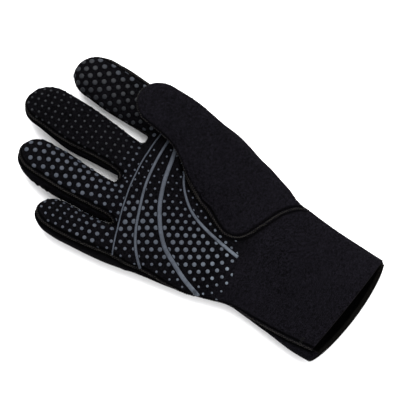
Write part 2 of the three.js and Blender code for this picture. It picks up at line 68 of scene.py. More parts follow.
INDEX = ((16, 18, 51, 9.6, 8.2, 0, .2), (34, 18.4, 51.8, 9.8, 8.8, .1, .25),
         (50, 18.7, 52.1, 9.9, 9.0, .2, .3), (59, 18.7, 52.2, 9.9, 9.0, .2, .4),
         (70, 18.4, 52.3, 10.0, 9.0, 0, .5), (82, 18.0, 52.5, 10.4, 9.0, -.12, .55),
         (97, 17.8, 52.8, 11.3, 8.9, -.12, .56), (112, 18.5, 51.9, 12.8, 8.5, -.12, .56))
# The thumb's last two columns are its side seams' own heights, mm.
THUMB = ((-42, -7, 45, 11.5, 7.6, 10.6, 10.6), (-30, -12.3, 47.8, 12.6, 10.2, 10.6, 10.6),
         (-21, -10.2, 49.1, 14.2, 12.0, 10.6, 10.8), (-11, -5.9, 51.5, 17.0, 12.8, 10.6, 11.4),
         (-1, -2.0, 52.7, 20.2, 12.6, 21.7, 16), (8, 2.2, 52.8, 23.4, 11.8, 23.6, 22),
         (17, 7.0, 53.0, 26.4, 10.6, 26.6, 26.6), (27, 13.6, 53.9, 28.9, 9.8, 29.3, 29.5),
         (37, 18.0, 55.0, 30.3, 9.4, 30.6, 31.2), (48, 20.2, 55.2, 30.8, 9.3, 31.2, 31.9),
         (59, 21.4, 54.8, 31.0, 9.2, 31.5, 32.3))
TIPS = {"little": (-70, 94.7, 13.2), "ring": (-40.8, 129.5, 15), "middle": (-6.3, 147.9, 15.6),
        "index": (32.8, 131.9, 15), "thumb": (37.9, 78.2, 31.2)}
HAND = ((57.4, -47.5, 45, 10.2, 4.6, .2, .2), (54.5, -50, 49, 10.2, 6.4, .2, .2),
        (50, -49.5, 50.5, 10.2, 8.0, .2, .2), (44, -49.4, 51.2, 10.2, 9.4, .2, .2),
        (38, -56, 51.8, 10.2, 10.2, .3, .2), (30, -67, 52.3, 10.2, 10.6, .5, .2),
        (20, -74.4, 52.8, 10.2, 10.8, .6, .2), (10, -72, 53.0, 10.2, 10.9, .52, .2),
        (0, -69.8, 52.9, 10.2, 10.9, .44, .15), (-10, -67.5, 52.0, 10.2, 10.9, .28, .1),
        (-20, -65.3, 50.0, 10.2, 10.8, .08, .1), (-30, -63.4, 47.9, 10.2, 10.7, 0, .1),
        (-40, -60, 45.4, 10.2, 10.6, 0, .1), (-50, -56.6, 42.6, 10.2, 10.5, 0, .1),
        (-60, -53.6, 38.4, 10.3, 10.6, .04, .1), (-70, -53.4, 37.3, 10.5, 10.9, .15, .08),
        (-84, -54.2, 36.3, 10.8, 11.2, .3, .05), (-100, -55.2, 35.8, 11.0, 11.5, .45, -.05),
        (-116, -56.2, 35.7, 11.2, 11.7, .59, -.12), (-130, -55.6, 35.4, 11.4, 12.0, .65, -.12),
        (-146, -55.0, 35.2, 11.6, 12.2, .67, -.12))
WEBS = ((15.4, 58.2), (-21.6, 58.2), (-50.3, 41.5))  # the ends of the gaps between the fingers, in plan
# Edge of the thumb panel in plan, mm
THUMB_EDGE = ((74, 95), (14, 95), (10.8, 46), (2.5, 25), (-3.2, 8.6), (-3.4, 0), (-6.2, -11.9),
              (-9.4, -18.2), (-12, -24), (-13.6, -29.8), (-13, -35.1), (-10.4, -40.4), (-6.2, -44),
              (.1, -46.7), (7.5, -49.6), (15.9, -52.8), (21.2, -54.6), (27.7, -58.6), (33, -63),
              (35.8, -67.8), (74, -67.8))
# Stripes in plan, mm: across, along, width
STRIPES = {
    "grip_stripe_1": ((27.1, 50.2, 1.1), (12.6, 50.5, 1.1), (-2, 49.4, 1.1), (-12.5, 47.9, 1.1),
                      (-22, 46.3, 1.1), (-32, 43.1, 1.1), (-42, 40, 1.1), (-51.8, 36.4, 1.1),
                      (-61.7, 32.1, 1.1), (-71, 27.8, 1.1)),
    "grip_stripe_2": ((26.2, 42.7, 2), (8.5, 41.7, 2), (-2, 40.1, 2), (-12, 38, 2), (-22, 34.8, 2),
                      (-32, 30.6, 2), (-39.9, 27.4, 2), (-47.3, 23.8, 2), (-54.6, 19, 2),
                      (-61.7, 13.2, 2), (-67.4, 6, 2)),
    "grip_stripe_3": ((25.2, 36.4, 3.2), (14.8, 32.8, 3.2), (6.4, 30.7, 3.2), (-2, 28.6, 3.2),
                      (-12, 24.8, 3.2), (-22, 20.1, 3.2), (-32, 13.2, 3.2), (-39.9, 6.4, 3.2),
                      (-46.2, -.9, 3.2), (-51.4, -12.3, 3.2), (-55.9, -22.1, 3.2),
                      (-58.1, -29.2, 3.2), (-60.4, -39.5, 3)),
    "grip_stripe_4": ((9, 19.6, 1.5), (2.2, 16, 1.6), (-4, 10.6, 1.8), (-9.4, 4.4, 1.9),
                      (-13.6, -1.9, 2.1), (-16.7, -10.4, 2.2), (-19.4, -22.4, 2.4),
                      (-21, -33, 2.5), (-22.5, -47.7, 2.5)),
}


# Rows and columns of dots on each part. "from" is the place of the grid's middle dot; on a finger the
# first figure goes round it, from its middle line. "across" and "along" say how the place changes with
# the dot's number in its row and its row's number: their powers and products, from the first degree up.
# "spans" are rows with their first and last full dots; beyond them the grid goes on evenly.
GRIDS = {
    "palm": {"from": (-37.16, 12.94), "part": (-80, 45, -58, 53),
             "spans": ((-12, 2, 5), (-9, 1, 7), (-6, -2, 6), (-2, -4, 5), (2, -6, 6), (5, -7, 1),
                       (8, -9, -7)),
             "across": (5.92927, 2.4984, -.0664, -.08987, -.07758, -.00669, -.00541, -.00831, -.00564,
                        .0009, .00416, .00512, .00133, .00019),
             "along": (.24103, 5.41278, -.01219, -.03349, -.01566, .00123, .00769, .00588, .00187,
                       -.00024, -.00075, .00006, .00071, .00029)},
    "little": {"from": (-.21, 68.09), "part": (-90, -53, 43, 97),
               "spans": ((-4, 2, 5), (0, -2, 2), (4, -4, -2)),
               "across": (5.01375, 4.74345, .08562, .06401, -.10878, -.03451, -.18178, -.19887, -.08812),
               "along": (-.46453, 5.21639, .13489, .25898, .11955, -.04484, -.09631, -.04228, .00772)},
    "ring": {"from": (-.92, 88.80), "part": (-60, -22, 38, 132),
             "spans": ((-6, 2, 5), (0, -1, 2), (6, -4, -3)),
             "across": (6.7335, 3.65326, .0927, .15708, .01645, -.14514, -.27896, -.18694, -.03939),
             "along": (-.24176, 5.62132, .22071, .21841, .05106, -.07889, -.11745, -.03233, .00652)},
    "middle": {"from": (-.81, 101.0), "part": (-23, 15, 53, 150),
               "spans": ((-4, 0, 4), (0, -3, 3), (4, -3, 1)),
               "across": (5.09161, 1.04522, .07248, .02897, .09991, -.00343, -.004, -.00343, .04498),
               "along": (.16102, 5.60001, .14073, .15549, .0309, .02198, .02281, .02038, .00794)},
    "index": {"from": (2.18, 101.69), "part": (15, 56, 50, 134),
              "spans": ((-6, 0, 1), (-3, 0, 2), (0, -1, 1), (3, -4, 0), (5, -3, -2)),
              "across": (7.06546, 2.34372, .20045, .28027, .151, .033, .10294, .04881, .02769),
              "along": (.67153, 5.79883, .10633, .04774, .00145, .03552, .05386, .01254, -.00636)},
}
# Lower limit of the print in plan, mm
PRINT_FOOT = ((-72, -55), (-59, -54.4), (-38, -52.9), (-28, -48.9), (-22, -47.9), (-17, -43.4), (-12, -41.9),
              (20, -41))


# Shapes from the rows

def columns(rows):
    """The rows as a sorted table of smooth columns."""
    table = np.array(sorted(rows), float)
    return {name: table[:, k] for k, name in enumerate(ROW)}


def smooth(table, name, y):
    """A column's value at y, along a smooth curve through the rows."""
    ys, vs = table["y"], table[name]
    slope = np.gradient(vs, ys)
    y = np.clip(y, ys[0], ys[-1])
    k = np.clip(np.searchsorted(ys, y) - 1, 0, len(ys) - 2)
    run = ys[k + 1] - ys[k]
    t = (y - ys[k]) / run
    rise = (2 * t ** 3 - 3 * t ** 2 + 1) * vs[k] + (3 * t ** 2 - 2 * t ** 3) * vs[k + 1]
    return rise + run * ((t ** 3 - 2 * t ** 2 + t) * slope[k] + (t ** 3 - t ** 2) * slope[k + 1])


class Tube:
    """A soft tube along the hand, with a rounded tip where it has one."""

    def __init__(self, rows, roundness, tip=None):
        self.table = columns(rows)
        self.low, self.high = self.table["y"][0], self.table["y"][-1]
        self.roundness, self.tip = roundness, tip
        self.end = tip[1] if tip else self.high

    def section(self, y):
        """Centre, half width, middle height and half depth at y."""
        y = np.asarray(y, float)
        left, right = smooth(self.table, "left", y), smooth(self.table, "right", y)
        centre, half = (left + right) / 2, (right - left) / 2
        mid, deep = smooth(self.table, "mid", y), smooth(self.table, "deep", y)
        if self.tip:
            along = np.clip((y - self.high) / (self.end - self.high), 0, 0.9999)
            narrow = np.sqrt(1 - along ** 2)
            centre = centre + (self.tip[0] - centre) * along
            mid = mid + (self.tip[2] - mid) * along
            half, deep = half * narrow, deep * narrow
        return centre, half, mid, deep

    def outside(self, points):
        """About 1 on the tube's skin, more outside it and less inside."""
        x, y, z = points.T
        centre, half, mid, deep = self.section(y)
        across, up = np.abs(x - centre) / half, np.abs(z - mid) / deep
        power = np.where(z > mid, *self.roundness)
        inside = across ** power + up ** power
        return np.where((y < self.low) | (y > self.end), 99.0, np.minimum(inside, 99.0))

    def form(self, step, count):
        """The tube as a closed mesh: points and faces."""
        stations = list(np.arange(self.low, self.high, step))
        if self.tip:
            turns = np.linspace(0, math.pi / 2, 15)[:-1]
            stations += list(self.high + (self.end - self.high) * np.sin(turns))
        else:
            stations.append(self.high)
        turn = np.linspace(0, 2 * math.pi, count, endpoint=False)
        power = 2 / np.where(np.sin(turn) > 0, *self.roundness)
        cos = np.sign(np.cos(turn)) * np.abs(np.cos(turn)) ** power
        sin = np.sign(np.sin(turn)) * np.abs(np.sin(turn)) ** power
        points, faces = [], []
        for row, y in enumerate(stations):
            centre, half, mid, deep = self.section(y)
            points += [(centre + half * c, y, mid + deep * s) for c, s in zip(cos, sin)]
            for i in range(count if row else 0):
                a, b = row * count + i, row * count + (i + 1) % count
                faces.append((a - count, b - count, b, a))
        faces.append(tuple(range(count)))
        faces.append(tuple(reversed(range(len(points) - count, len(points)))))
        return points, faces


FINGERS = {"little": Tube(LITTLE, FINGER_ROUND, TIPS["little"]),
           "ring": Tube(RING, FINGER_ROUND, TIPS["ring"]),
           "middle": Tube(MIDDLE, FINGER_ROUND, TIPS["middle"]),
           "index": Tube(INDEX, FINGER_ROUND, TIPS["index"])}
PALM = Tube(HAND, HAND_ROUND)
THUMB_TUBE = Tube(THUMB, FINGER_ROUND, TIPS["thumb"])


SEAM_LEVEL = 10.9  # height of the sheet that parts palm from back, between the fingers, mm
SEAM_PAST = .3  # the sheet keeps a side seam's height this far past the side, mm
CUFF_SEAM_IN, CUFF_TOP, CUFF_RUN = 7.4, -60, 70  # how far in the cuff's left seam runs, from where, how long
LITTLE_FOOT, LITTLE_BLEND = 8, 14  # where the palm's seam turns into the little finger's, and how slowly


def seam_height(x, y):
    """Height of the sheet that parts palm from back, at each x and y."""
    across, height = [], []
    for k, tube in enumerate(FINGERS.values()):
        table = tube.table
        centre, half, mid, deep = tube.section(np.clip(y, tube.low, tube.high))
        in_palm = y < table["y"][2]
        own_left = mid + deep * smooth(table, "seam_left", y)
        own_right = mid + deep * smooth(table, "seam_right", y)
        left, right = np.where(in_palm, SEAM_LEVEL, own_left), np.where(in_palm, SEAM_LEVEL, own_right)
        x_left, x_right = centre - half - SEAM_PAST, centre + half + SEAM_PAST
        palm = PALM.section(y)
        if k == 0:
            low = y < table["y"][1]
            seam_in = CUFF_SEAM_IN * np.clip((CUFF_TOP - y) / CUFF_RUN, 0, 1)
            x_left = np.where(low, palm[0] - palm[1] - SEAM_PAST + seam_in, x_left)
            of_palm = palm[2] + palm[3] * smooth(PALM.table, "seam_left", y)
            left = of_palm + (own_left - of_palm) * np.clip((y - LITTLE_FOOT) / LITTLE_BLEND, 0, 1)
        if k == 3:
            low = y < table["y"][2]
            x_right = np.where(low, palm[0] + palm[1] + SEAM_PAST, x_right)
            of_palm = palm[2] + palm[3] * smooth(PALM.table, "seam_right", y)
            right = np.where(low, of_palm, own_right)
        across += [x_left, x_right]
        height += [left, right]
    return piecewise(x, across, height)


def piecewise(x, across, height):
    """Straight lines through the columns, level beyond the first and last."""
    across = np.maximum.accumulate(np.array(across), axis=0)
    result = height[0].copy()
    for k in range(1, len(across)):
        run = np.maximum(across[k] - across[k - 1], .02)
        share = np.clip((x - across[k - 1]) / run, 0, 1)
        result = np.where(x > across[k - 1], height[k - 1] + share * (height[k] - height[k - 1]), result)
    return result


def edge_distance(x, y, outline):
    """Distance to a closed outline in plan, positive inside."""
    best = np.full(len(x), 1e9)
    inside = np.zeros(len(x), bool)
    for (x0, y0), (x1, y1) in zip(outline, outline[1:] + outline[:1]):
        run = max((x1 - x0) ** 2 + (y1 - y0) ** 2, 1e-9)
        t = np.clip(((x - x0) * (x1 - x0) + (y - y0) * (y1 - y0)) / run, 0, 1)
        best = np.minimum(best, np.hypot(x - x0 - t * (x1 - x0), y - y0 - t * (y1 - y0)))
        if y0 != y1:
            inside ^= ((y0 > y) != (y1 > y)) & (x < x0 + (x1 - x0) * (y - y0) / (y1 - y0))
    return np.where(inside, best, -best)


def curve_through(points, step, ease=0):
    """A smooth open curve through plan points, at about the given step, with its bends eased."""
    table = np.array(points, float)
    run = np.concatenate([[0], np.cumsum(np.hypot(*np.diff(table[:, :2], axis=0).T))])
    slope = np.gradient(table, run, axis=0)
    at = np.linspace(0, run[-1], max(int(run[-1] / step), 2))
    k = np.clip(np.searchsorted(run, at) - 1, 0, len(run) - 2)
    width = (run[k + 1] - run[k])[:, None]
    t = (at - run[k])[:, None] / width
    line = ((2 * t ** 3 - 3 * t ** 2 + 1) * table[k] + (3 * t ** 2 - 2 * t ** 3) * table[k + 1]
            + width * ((t ** 3 - 2 * t ** 2 + t) * slope[k] + (t ** 3 - t ** 2) * slope[k + 1]))
    for _ in range(ease):
        line[1:-1] = (line[:-2] + line[1:-1] * 2 + line[2:]) / 4
    return line


def thumb_panel(points):
    """Positive in the thumb's outer panel: inside its edge and over its side seams."""
    x, y, z = points.T
    outline = [tuple(p[:2]) for p in curve_through(THUMB_EDGE[5:20], 1.5)]
    outline = list(THUMB_EDGE[:5]) + outline + [THUMB_EDGE[20]]
    section = THUMB_TUBE.section(np.clip(y, THUMB_TUBE.low, THUMB_TUBE.high))
    across = [section[0] - section[1] - SEAM_PAST, section[0] + section[1] + SEAM_PAST]
    height = [smooth(THUMB_TUBE.table, "seam_left", y), smooth(THUMB_TUBE.table, "seam_right", y)]
    return np.minimum(edge_distance(x, y, outline), z - piecewise(x, across, height))


def hand_outside(points):
    forms = [PALM, *FINGERS.values()]
    return np.minimum.reduce([form.outside(points) for form in forms])


# The skin: one smooth surface, cut along the seams

def plain_mesh(name, points, faces):
    mesh = bpy.data.meshes.new(name)
    mesh.from_pydata([tuple(p) for p in points], [], [tuple(int(i) for i in f) for f in faces])
    mesh.update()
    return mesh


def whole_skin(tubes, step):
    """One closed surface round all the tubes, in faces of the given size."""
    points, faces = [], []
    for tube, count in tubes:
        more, rings = tube.form(TUBE_STEP, count)
        faces += [tuple(i + len(points) for i in ring) for ring in rings]
        if tube is FINGERS["little"]:
            more = [(float(x - little_away(y)), y, z) for x, y, z in more]
        points += more
    source = bpy.data.objects.new("skin_source", plain_mesh("skin_source", points, faces))
    bpy.context.scene.collection.objects.link(source)
    remesh = source.modifiers.new("even", "REMESH")
    remesh.mode, remesh.voxel_size = "VOXEL", step
    found = source.evaluated_get(bpy.context.evaluated_depsgraph_get()).to_mesh()
    skin = np.empty(len(found.vertices) * 3)
    found.vertices.foreach_get("co", skin)
    found.calc_loop_triangles()
    corners = np.empty(len(found.loop_triangles) * 3, np.int32)
    found.loop_triangles.foreach_get("vertices", corners)
    bpy.data.objects.remove(source)
    return skin.reshape(-1, 3), corners.reshape(-1, 3)


def edges_of(faces):
    edges = np.sort(np.concatenate([faces[:, [0, 1]], faces[:, [1, 2]], faces[:, [2, 0]]]), axis=1)
    return np.unique(edges, axis=0)


def gathered(points, edges):
    """The sum of each point's neighbours."""
    total = np.zeros_like(points)
    np.add.at(total, edges[:, 0], points[edges[:, 1]])
    np.add.at(total, edges[:, 1], points[edges[:, 0]])
    return total


def relax(points, faces, times):
    """Evens the surface out without shrinking it much."""
    edges = edges_of(faces)
    count = np.bincount(edges.ravel(), minlength=len(points))[:, None]
    for turn in range(times):
        points = points + (.55 if turn % 2 == 0 else -.45) * (gathered(points, edges) / count - points)
    return points


def cut(points, faces, labels, measure, only):
    """Splits the faces labelled `only` where measure changes sign; the positive side gets a new label."""
    chosen = np.isin(labels, only)
    values = measure(points)
    used = np.zeros(len(points), bool)
    used[faces[chosen].ravel()] = True
    edges = edges_of(faces[chosen])
    for a, b in edges[(values[edges[:, 0]] > 0) != (values[edges[:, 1]] > 0)]:
        va, vb = values[a], values[b]
        if va == 0 or vb == 0:
            continue
        t = va / (va - vb)
        if t < .22:
            points[a], values[a] = points[a] + t * (points[b] - points[a]), 0
        elif t > .78:
            points[b], values[b] = points[b] + (1 - t) * (points[a] - points[b]), 0
    sign = np.sign(values)
    rows = np.nonzero(chosen)[0]
    mixed = rows[(sign[faces[rows]].max(1) > 0) & (sign[faces[rows]].min(1) < 0)]
    fresh, cuts, new_faces, new_labels = [], {}, [], []

    def crossing(a, b):
        key = (min(a, b), max(a, b))
        if key not in cuts:
            t = values[a] / (values[a] - values[b])
            cuts[key] = len(points) + len(fresh)
            fresh.append(points[a] + t * (points[b] - points[a]))
        return cuts[key]

    for row in mixed:
        ring = []
        for a, b in zip(faces[row], np.roll(faces[row], -1)):
            ring.append((int(a), sign[a]))
            if sign[a] * sign[b] < 0:
                ring.append((crossing(a, b), 0))
        for side in (1, -1):
            part = [i for i, s in ring if s * side >= 0]
            for k in range(1, len(part) - 1):
                new_faces.append((part[0], part[k], part[k + 1]))
                new_labels.append((labels[row], side))
    keep = np.ones(len(faces), bool)
    keep[mixed] = False
    # A neighbour outside the chosen faces gets the new points of its edges too, so no crack opens.
    if cuts:
        split = {a for a, b in cuts} & set(faces[keep & ~chosen].ravel().tolist())
        for row in np.nonzero(keep & np.isin(faces, list(split)).any(1))[0]:
            ring = []
            for a, b in zip(faces[row].tolist(), np.roll(faces[row], -1).tolist()):
                ring.append(a)
                if (min(a, b), max(a, b)) in cuts:
                    ring.append(cuts[(min(a, b), max(a, b))])
            if len(ring) > 3:
                keep[row] = False
                turn = next(k for k in range(len(ring)) if ring[k] >= len(points))
                ring = ring[turn:] + ring[:turn]
                for k in range(1, len(ring) - 1):
                    new_faces.append((ring[0], ring[k], ring[k + 1]))
                    new_labels.append((labels[row], -1))
    top = labels.max() + 1
    positive = chosen & keep & (sign[faces].max(1) > 0)
    labels = labels.copy()
    labels[positive] = top
    if fresh:
        points = np.vstack([points, fresh])
    if new_faces:
        faces = np.vstack([faces[keep], new_faces])
        labels = np.concatenate([labels[keep], [top if s > 0 else old for old, s in new_labels]])
    return points, faces, labels, top


def normals_of(points, faces):
    across = np.cross(points[faces[:, 1]] - points[faces[:, 0]], points[faces[:, 2]] - points[faces[:, 0]])
    total = np.zeros_like(points)
    for k in range(3):
        np.add.at(total, faces[:, k], across)
    return total / np.maximum(np.linalg.norm(total, axis=1), 1e-9)[:, None]


def soften(points, faces, centre, radius, times):
    """Rounds the surface near a place in plan."""
    near = np.hypot(points[:, 0] - centre[0], points[:, 1] - centre[1])
    share = .6 * np.exp(-(near / radius) ** 4)[:, None]
    edges = edges_of(faces[(near[faces] < radius * 1.6).all(1)])
    count = np.maximum(np.bincount(edges.ravel(), minlength=len(points)), 1)[:, None]
    for _ in range(times):
        total = gathered(points, edges)
        moved = total / count - points
        points = points + share * np.where((count > 2) & (np.abs(total).sum(1, keepdims=True) > 0), moved, 0)
    return points


TUBE_STEP, SKIN_RELAX = 1.5, 24  # step along a tube, mm, and how often the skin is evened out
WEB_ROUND, WEB_TIMES = 4.5, 14  # reach of the softening at the ends of the finger gaps, mm, and its rounds
LITTLE_AWAY, AWAY_FROM, AWAY_RUN = 2.2, 42, 14  # how far, from where and over how long, mm
THUMB_ROOT = -8  # the thumb's lower panel ends here along the hand, mm


def little_away(y):
    """How far the little finger is held off the ring finger while the skin is made, so they stay apart."""
    share = np.clip((y - AWAY_FROM) / AWAY_RUN, 0, 1)
    return LITTLE_AWAY * share * share * (3 - 2 * share)


def gap_middle(y):
    """Middle of the gap between little and ring finger, with the little finger held away."""
    little, ring = FINGERS["little"].section(y), FINGERS["ring"].section(y)
    return (little[0] + little[1] - little_away(y) + ring[0] - ring[1]) / 2


step = SKIN_STEP * 1
tubes = [(PALM, 200)] + [(f, 64) for f in FINGERS.values()] + [(THUMB_TUBE, 72)]
skin, faces = whole_skin(tubes, step)
skin = relax(skin, faces, SKIN_RELAX)
of_little = (skin[:, 1] > AWAY_FROM) & (skin[:, 0] < gap_middle(skin[:, 1]))
skin[of_little, 0] += little_away(skin[of_little, 1])
for web in WEBS:
    skin = soften(skin, faces, web, WEB_ROUND, WEB_TIMES)
skin[:, 2] = np.maximum(skin[:, 2], 0)
labels = np.zeros(len(faces), int)


def under_thumb(p):
    """Positive on the thumb's own skin, up to its root."""
    return np.minimum(hand_outside(p) - THUMB_TUBE.outside(p), p[:, 1] - THUMB_ROOT)


def over_seam(p):
    """Positive on the palm's side of the side seams."""
    return p[:, 2] - seam_height(p[:, 0], p[:, 1])


def past_rim(p, rim):
    """Positive past a rim of the mouth, which runs aslant and bulges."""
    share = np.clip((p[:, 0] - MOUTH_LEFT) / (MOUTH_RIGHT - MOUTH_LEFT), 0, 1)
    middle = (MOUTH_LEFT + MOUTH_RIGHT) / 2
    return rim[0] + rim[2] * (p[:, 0] - middle) - rim[1] * np.sin(math.pi * share) ** .6 - p[:, 1]


skin, faces, labels, THUMB_OUT = cut(skin, faces, labels, thumb_panel, [0])
skin, faces, labels, THUMB_IN = cut(skin, faces, labels, under_thumb, [0])
skin, faces, labels, PALM_SIDE = cut(skin, faces, labels, over_seam, [0])
skin, faces, labels, OFF_FRONT = cut(skin, faces, labels, lambda p: past_rim(p, FRONT_RIM), [PALM_SIDE])
skin, faces, labels, OFF_BACK = cut(skin, faces, labels, lambda p: past_rim(p, BACK_RIM), [0])
kept = (labels != OFF_FRONT) & (labels != OFF_BACK)
faces, labels = faces[kept], labels[kept]
PANELS = {"palm_panel": PALM_SIDE, "back_panel": 0, "thumb_outer_panel": THUMB_OUT,
          "thumb_inner_panel": THUMB_IN}


def biggest_parts(faces, labels):
    """Loose scraps of a panel join the panel round them."""
    for _ in range(2):
        for label in np.unique(labels):
            rows = np.nonzero(labels == label)[0]
            group = np.arange(len(skin))
            local = faces[rows]
            while True:
                low = group[local].min(1)
                before = group.copy()
                for k in range(3):
                    np.minimum.at(group, local[:, k], low)
                group = group[group]
                if (before == group).all():
                    break
            names, sizes = np.unique(group[local[:, 0]], return_counts=True)
            main = names[sizes.argmax()]
            scraps = rows[group[local[:, 0]] != main]
            for row in scraps:
                near = np.isin(faces, faces[row]).sum(1) >= 2
                others = labels[near & (labels != label)]
                if len(others):
                    labels[row] = np.bincount(others).argmax()
    return labels


labels = biggest_parts(faces, labels)


def seam_lines(faces, labels):
    """Chains of points along which two panels meet, as lists of vertex numbers with the two labels."""
    owner = {}
    for row, ring in enumerate(faces):
        for a, b in zip(ring, np.roll(ring, -1)):
            owner.setdefault((min(a, b), max(a, b)), []).append(labels[row])
    pairs = {}
    for edge, own in owner.items():
        if len(own) == 2 and own[0] != own[1]:
            pairs.setdefault(tuple(sorted(own)), []).append(edge)
    lines = []
    for pair, edges in pairs.items():
        near = {}
        for a, b in edges:
            near.setdefault(a, set()).add(b)
            near.setdefault(b, set()).add(a)
        while near:
            ends = [v for v, n in near.items() if len(n) == 1]
            at = ends[0] if ends else next(iter(near))
            line = [at]
            while near.get(at):
                to = near[at].pop()
                near[to].discard(at)
                if not near[at]:
                    near.pop(at)
                line.append(to)
                at = to
            if at in near and not near[at]:
                near.pop(at)
            if len(line) > 6:
                lines.append((pair, line))
    return lines


seams = seam_lines(faces, labels)
normals = normals_of(skin, faces)
seam_points = sorted({v for _, line in seams for v in line})
tree = KDTree(len(seam_points))
for k, v in enumerate(seam_points):
    tree.insert(skin[v], k)
tree.balance()
reach = np.full(len(skin), 9.0)
for v in np.unique(faces):
    reach[v] = tree.find(skin[v])[2]

# Each seam is a narrow ridge between two grooves, and the cloth swells beside them.
RIDGE, GROOVE, SWELL, INSET = .5, 1.15, .5, .3
welt = (RIDGE * np.exp(-(reach / .7) ** 2) - GROOVE * np.exp(-((reach - 1.75) / .65) ** 2)
        + SWELL * np.exp(-((reach - 3.6) / 1.1) ** 2)) - INSET
# Painted shade: each point's share of a darker cloth colour in the grooves beside the seams, strongest 1.9 mm
# from a seam.
painted_groove_shade = np.exp(-((reach - 1.9) / .9) ** 2)
slow = .35 * np.sin(skin[:, 0] / 17 + skin[:, 1] / 23 + 1) * np.sin(skin[:, 1] / 31 - skin[:, 0] / 41)
free = np.clip((skin[:, 2] - 1.5) / 4, 0, 1)
skin = skin + normals * ((welt + slow) * free)[:, None]


def link(name, mesh, material):
    thing = bpy.data.objects.new(name, mesh)
    bpy.context.scene.collection.objects.link(thing)
    for m in material if isinstance(material, (list, tuple)) else [material]:
        mesh.materials.append(m)
    mesh.shade_smooth()
    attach(thing, "root")
    return thing


BARE_HEM = 3.3  # the lining stops this far inside the back rim, mm


def panel_mesh(name, label):
    """A panel of the skin as a sheet with its own thickness: outside, lining and cut edge."""
    own = faces[labels == label]
    used = np.unique(own)
    where = np.full(len(skin), -1)
    where[used] = np.arange(len(used))
    own = where[own]
    out, normal = skin[used], normals[used]
    lining = out - normal * SHEET
    lining[:, 2] = np.maximum(lining[:, 2], SHEET)
    count = {}
    for ring in own:
        for a, b in zip(ring, np.roll(ring, -1)):
            count[(a, b)] = 1
    rim = [(a, b) for a, b in count if (b, a) not in count]
    n = len(used)
    inner = own[:, ::-1] + n
    walls = [(a, a + n, b + n, b) for a, b in rim]
    walls = [w[::-1] for w in walls]
    everything = [tuple(f) for f in own] + [tuple(f) for f in inner] + walls
    mesh = plain_mesh(name, np.vstack([out, lining]) * MM, everything)
    at_mouth = past_rim(out, FRONT_RIM) > -1
    kinds = [0] * len(own) + [1] * len(inner) + [2 if at_mouth[a] and at_mouth[b] else 0 for a, b in rim]
    mesh.polygons.foreach_set("material_index", kinds)
    # Each point's share of the painted shade in the seams' grooves.
    shade = mesh.attributes.new("painted_groove_shade", "FLOAT", "POINT")
    shade.data.foreach_set("value", np.concatenate([painted_groove_shade[used], np.zeros(n)]))
    hem = mesh.attributes.new("hem", "FLOAT", "POINT")
    bare = past_rim(lining, BACK_RIM) + BARE_HEM if name == "back_panel" else np.full(n, -9.0)
    hem.data.foreach_set("value", np.concatenate([np.full(n, -9.0), bare]))
    return mesh


# Materials

class Value:
    """A shader socket that takes part in sums; every operator adds its Math node."""

    def __init__(self, look, socket):
        self.look, self.socket = look, socket

    def _math(self, operation, *inputs):
        return self.look.node("ShaderNodeMath", {"operation": operation}, *inputs)

    def __add__(self, other): return self._math("ADD", self, other)
    def __radd__(self, other): return self._math("ADD", other, self)
    def __sub__(self, other): return self._math("SUBTRACT", self, other)
    def __rsub__(self, other): return self._math("SUBTRACT", other, self)
    def __mul__(self, other): return self._math("MULTIPLY", self, other)
    def __rmul__(self, other): return self._math("MULTIPLY", other, self)
    def __truediv__(self, other): return self._math("DIVIDE", self, other)
    def __pow__(self, other): return self._math("POWER", self, other)
    def sine(self): return self._math("SINE", self)
    def held(self): return self.look.node("ShaderNodeClamp", {}, self)


class Look:
    """One material. node() makes any node; mix() mixes colours."""

    def __init__(self, name, **constants):
        self.material = bpy.data.materials.new(name)
        self.material.use_nodes = True
        self.tree = self.material.node_tree
        self.shader = next(n for n in self.tree.nodes if n.type == "BSDF_PRINCIPLED")
        for socket, value in constants.items():
            self.shader.inputs[socket.replace("_", " ")].default_value = value

    def node(self, kind, settings, *inputs, out=0, **named):
        made = self.tree.nodes.new(kind)
        stops = settings.pop("stops", None)
        for setting, value in settings.items():
            setattr(made, setting, value)
        if stops:
            made.color_ramp.elements[0].position, made.color_ramp.elements[0].color = stops[0]
            made.color_ramp.elements[1].position, made.color_ramp.elements[1].color = stops[-1]
            for position, colour in stops[1:-1]:
                made.color_ramp.elements.new(position).color = colour
        given = list(enumerate(inputs)) + [(k.replace("_", " "), v) for k, v in named.items()]
        for key, value in given:
            if isinstance(value, Value):
                self.tree.links.new(value.socket, made.inputs[key])
            else:
                made.inputs[key].default_value = value
        return Value(self, made.outputs[out])

    def place(self, scale):
        """Object coordinates in millimetres, times a scale for each axis."""
        where = self.node("ShaderNodeTexCoord", {}, out=3)
        factor = tuple(1000 * s for s in scale)
        return self.node("ShaderNodeVectorMath", {"operation": "MULTIPLY"}, where, factor)

    def noise(self, scale, detail=2.0, roughness=.5):
        at = self.place(scale)
        return self.node("ShaderNodeTexNoise", {}, Vector=at, Scale=1.0, Detail=detail, Roughness=roughness)

    def mix(self, share, one, two):
        made = self.tree.nodes.new("ShaderNodeMix")
        made.data_type = "RGBA"
        for key, value in ((0, share), (6, one), (7, two)):
            if isinstance(value, Value):
                self.tree.links.new(value.socket, made.inputs[key])
            else:
                made.inputs[key].default_value = value
        return Value(self, made.outputs[2])

    def set(self, socket, value):
        self.tree.links.new(value.socket, self.shader.inputs[socket])

    def relief(self, height, distance, strength=1.0):
        bump = self.node("ShaderNodeBump", {}, Height=height, Distance=distance * MM, Strength=strength)
        self.set("Normal", bump)


